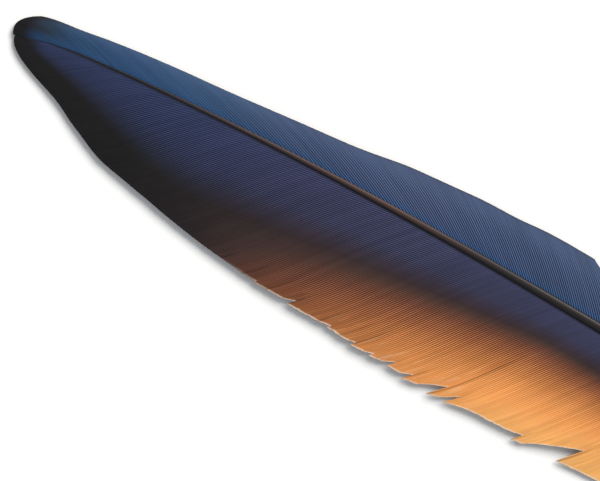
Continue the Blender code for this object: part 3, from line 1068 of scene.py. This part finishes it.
def wisp_barbs():
    """Single loose barbs of the inner vane, in its own colours, with patches of painted highlight where
    light comes round them.
    """
    material, tree, shader, read = new_material("keratin_barb_ends_unhooked", ("along", "warmth"))
    # patches of painted highlight on the barbs, about 1 mm long
    place = add(tree, "TexCoord", out="Object")
    cloud = add(tree, "TexNoise", {"Vector": place, "Scale": 1 / (1.111 * MM)})
    colour = inner_colours(tree, read["along"], read["warmth"])
    plug(tree, shader, {
        "Base Color": tinted(tree, colour, linear("#f8dcbb"), cloud, (read["warmth"], 0.3, 1.0)),
        "Roughness": 0.55,
        "Specular IOR Level": 0.2,
    })
    return material


def matt_card():
    """White card, pressed matt: a pale floor with a barely seen mottle."""
    material, tree, shader, _ = new_material("white_card_pressed_matt")
    # a mottle of patches 125 mm across
    place = add(tree, "TexCoord", out="Object")
    cloud = add(tree, "TexNoise", {"Vector": place, "Scale": 1 / (125 * MM)})
    plug(tree, shader, {
        "Base Color": tinted(tree, linear("#f6f6f6"), linear("#fafafa"), cloud),
        "Roughness": 0.9,
        "Specular IOR Level": 0.1,
    })
    return material


# ---------------------------------------------------------------- settings

METRES = {"unit": "LENGTH", "precision": 5}
COLOUR = {"subtype": "COLOR", "size": 4, "min": 0.0, "max": 1.0}


class FeatherSizes(bpy.types.PropertyGroup):
    """Sizes of the fine structure."""

    outer_pitch: FloatProperty(
        name="Outer barb pitch", description="Distance between the outer vane's barbs",
        default=0.41 * MM, **METRES)
    inner_pitch: FloatProperty(
        name="Inner barb pitch", description="Distance between the inner vane's barbs",
        default=0.39 * MM, **METRES)
    web_half: FloatProperty(
        name="Web half thickness", description="Half the mean thickness of the web of barbs",
        default=0.13 * MM, **METRES)
    ridge_top: FloatProperty(
        name="Upper ridges", description="Height of a barb's ridge on the upper side",
        default=0.06 * MM, **METRES)
    ridge_under: FloatProperty(
        name="Under ridges", description="Height of a barb's ridge on the underside",
        default=0.16 * MM, **METRES)
    edge_wear: FloatProperty(
        name="Edge wear", description="How unevenly barbs end along the edge",
        default=0.12 * MM, **METRES)
    undulation: FloatProperty(
        name="Undulation", description="Size of the web's waves, which run along its barbs",
        default=0.65 * MM, **METRES)
    groove_depth: FloatProperty(
        name="Groove depth", description="Depth of the groove under the shaft, in its radii",
        default=0.35, min=0.0, max=0.8)
    down_barbs: IntProperty(
        name="Downy barbs", description="Loose barbs in each tuft", default=64)
    down_barbules: IntProperty(
        name="Barbules", description="Barbules on each side of a downy barb", default=42)
    down_length: FloatProperty(
        name="Down length", description="Usual length of a downy barb",
        default=12 * MM, **METRES)
    down_stem: FloatProperty(
        name="Down stem", description="Thickness of a downy barb at its root",
        default=0.14 * MM, **METRES)
    barbule_length: FloatProperty(
        name="Barbule length", description="Usual length of a downy barbule",
        default=1.9 * MM, **METRES)
    barbule_stem: FloatProperty(
        name="Barbule stem", description="Thickness of a downy barbule",
        default=0.05 * MM, **METRES)
    wisps_by_split: IntProperty(
        name="Wisps by a split", description="Loose barb ends by each split", default=7)
    wisps_loose: IntProperty(
        name="Other wisps", description="Loose barb ends elsewhere", default=60)
    wisp_stem: FloatProperty(
        name="Wisp thickness", description="Thickness of a loose barb end at its root",
        default=0.11 * MM, **METRES)


class FeatherLooks(bpy.types.PropertyGroup):
    """Settings of the finishes."""

    # painted shade: how much darker the grooves between barbs are drawn
    groove_shade_depth: FloatProperty(
        name="Line depth", description="How much darker the web is between barbs", default=2.0)
    # Real barbules stand about 0.03 mm apart; they are drawn at 0.2 mm, as finer ones don't show.
    hatch_pitch: FloatProperty(
        name="Hatch pitch", description="Distance between the drawn barbules",
        default=0.2 * MM, **METRES)
    leading_edge: FloatVectorProperty(
        name="Leading edge", description="Paler blue towards the outer vane's edge",
        default=linear("#475672"), **COLOUR)
    by_shaft: FloatVectorProperty(
        name="Beside the shaft", description="Stronger blue on the outer vane by the shaft",
        default=linear("#24466e"), **COLOUR)
    worn_barbs: FloatVectorProperty(
        name="Worn barbs", description="Bleached streaks in the orange",
        default=linear("#f9c898"), **COLOUR)
    worn_rim: FloatVectorProperty(
        name="Worn rim", description="Bleached ends of the orange barbs",
        default=linear("#fdebd6"), **COLOUR)
    underside: FloatVectorProperty(
        name="Underside", description="Grey brown that dulls both vanes' undersides",
        default=linear("#6a5a50"), **COLOUR)
    down_dark: FloatVectorProperty(
        name="Dark down", description="Darker colour of the down",
        default=linear("#6e6055"), **COLOUR)
    down_light: FloatVectorProperty(
        name="Light down", description="Lighter colour of the down",
        default=linear("#a3968a"), **COLOUR)


# ---------------------------------------------------------------- operators


def settle(obj, material, node):
    """Gives a piece its material and its body, and hides the solid that it stands for."""
    obj.data.materials.append(material)
    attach(obj, "root")
    if node:
        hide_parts(node)


class FEATHER_OT_shaft(bpy.types.Operator):
    """Builds the quill and shaft"""

    bl_idname = "feather.shaft"
    bl_label = "Shaft"

    def execute(self, context):
        obj = make_shaft(context.scene.feather_sizes)
        settle(obj, polished_horn(), "shaft")
        return {"FINISHED"}


class FEATHER_OT_vanes(bpy.types.Operator):
    """Builds the two webs of hooked barbs"""

    bl_idname = "feather.vanes"
    bl_label = "Vanes"

    def execute(self, context):
        sizes, looks = context.scene.feather_sizes, context.scene.feather_looks
        zones = {"outer": outer_zones, "inner": inner_zones}
        for seed, vane in enumerate(VANES):
            material = hooked_barbs(f"keratin_{vane}_barbs_grown_hooked", looks, zones[vane])
            settle(make_vane(vane, sizes, 20 * seed + 3), material, f"{vane}_vane")
        return {"FINISHED"}


class FEATHER_OT_down(bpy.types.Operator):
    """Builds the tufts of down at the feet of the vanes"""

    bl_idname = "feather.down"
    bl_label = "Down"

    def execute(self, context):
        material = loose_down(context.scene.feather_looks)
        for seed, vane in enumerate(VANES):
            obj = make_down(vane, context.scene.feather_sizes, 200 + seed)
            settle(obj, material, f"{vane}_down")
        return {"FINISHED"}


class FEATHER_OT_wisps(bpy.types.Operator):
    """Builds the loose barb ends along the trailing edge"""

    bl_idname = "feather.wisps"
    bl_label = "Loose barb ends"

    def execute(self, context):
        obj = make_wisps("inner", context.scene.feather_sizes, 300)
        settle(obj, wisp_barbs(), None)
        return {"FINISHED"}


class FEATHER_OT_stage(bpy.types.Operator):
    """Sets the pale floor, the soft light and the camera straight above"""

    bl_idname = "feather.stage"
    bl_label = "Stage"

    def execute(self, context):
        scene = context.scene
        scene.view_settings.view_transform = "Standard"
        signs = ((-1, -1), (1, -1), (1, 1), (-1, 1))
        corners = [(x * FLOOR_HALF, y * FLOOR_HALF, -FLOOR_GAP) for x, y in signs]
        floor = new_mesh("floor", corners, [(0, 1, 2, 3)])
        floor.data.materials.append(matt_card())
        world = bpy.data.worlds.new("studio")
        world.use_nodes = True
        sky = {"Color": linear("#f6faff"), "Strength": SKY_STRENGTH}
        plug(world.node_tree, world.node_tree.nodes["Background"], sky)
        scene.world = world
        aim = Vector((TIP_X, SHIFT, 0)) + Vector(CAMERA_AIM)
        lamp_turn = np.radians(CAMERA_TURN + LAMP_TURN)
        away = Vector((np.cos(lamp_turn), np.sin(lamp_turn), 0)) * LAMP_REACH
        light = bpy.data.lights.new("softbox", "POINT")
        light.shadow_soft_size = LAMP_RADIUS
        light.energy = LAMP_POWER
        light.color = linear("#fffcf6")[:3]
        lamp = bpy.data.objects.new("softbox", light)
        scene.collection.objects.link(lamp)
        lamp.location = aim + away + Vector((0, 0, LAMP_HEIGHT))
        camera = bpy.data.cameras.new("camera")
        camera.lens = LENS
        camera.sensor_width = SENSOR
        camera.clip_start, camera.clip_end = 0.01, 20
        eye = bpy.data.objects.new("camera", camera)
        scene.collection.objects.link(eye)
        eye.location = aim + Vector((0, 0, FRAME_WIDTH * LENS / SENSOR))
        eye.rotation_euler = (0, 0, np.radians(CAMERA_TURN))
        scene.camera = eye
        return {"FINISHED"}


class FEATHER_PT_panel(bpy.types.Panel):
    """Lists the feather's sizes, looks and pieces"""

    bl_label = "Feather"
    bl_idname = "FEATHER_PT_panel"
    bl_space_type = "VIEW_3D"
    bl_region_type = "UI"
    bl_category = "Feather"

    def draw(self, context):
        for group in (context.scene.feather_sizes, context.scene.feather_looks):
            box = self.layout.box()
            for name in group.__annotations__:
                box.prop(group, name)
        for operator in OPERATORS:
            self.layout.operator(operator.bl_idname)


OPERATORS = (
    FEATHER_OT_shaft, FEATHER_OT_vanes, FEATHER_OT_down, FEATHER_OT_wisps, FEATHER_OT_stage,
)
CLASSES = (FeatherSizes, FeatherLooks, *OPERATORS, FEATHER_PT_panel)


def register():
    """Makes the settings, the operators and the panel known."""
    for cls in CLASSES:
        bpy.utils.register_class(cls)
    bpy.types.Scene.feather_sizes = PointerProperty(type=FeatherSizes)
    bpy.types.Scene.feather_looks = PointerProperty(type=FeatherLooks)


def unregister():
    """Takes them away again, in the opposite order."""
    del bpy.types.Scene.feather_looks
    del bpy.types.Scene.feather_sizes
    for cls in reversed(CLASSES):
        bpy.utils.unregister_class(cls)


def main():
    """Builds every piece and the stage."""
    register()
    bpy.ops.feather.shaft()
    bpy.ops.feather.vanes()
    bpy.ops.feather.down()
    bpy.ops.feather.wisps()
    bpy.ops.feather.stage()


if __name__ == "__main__":
    main()
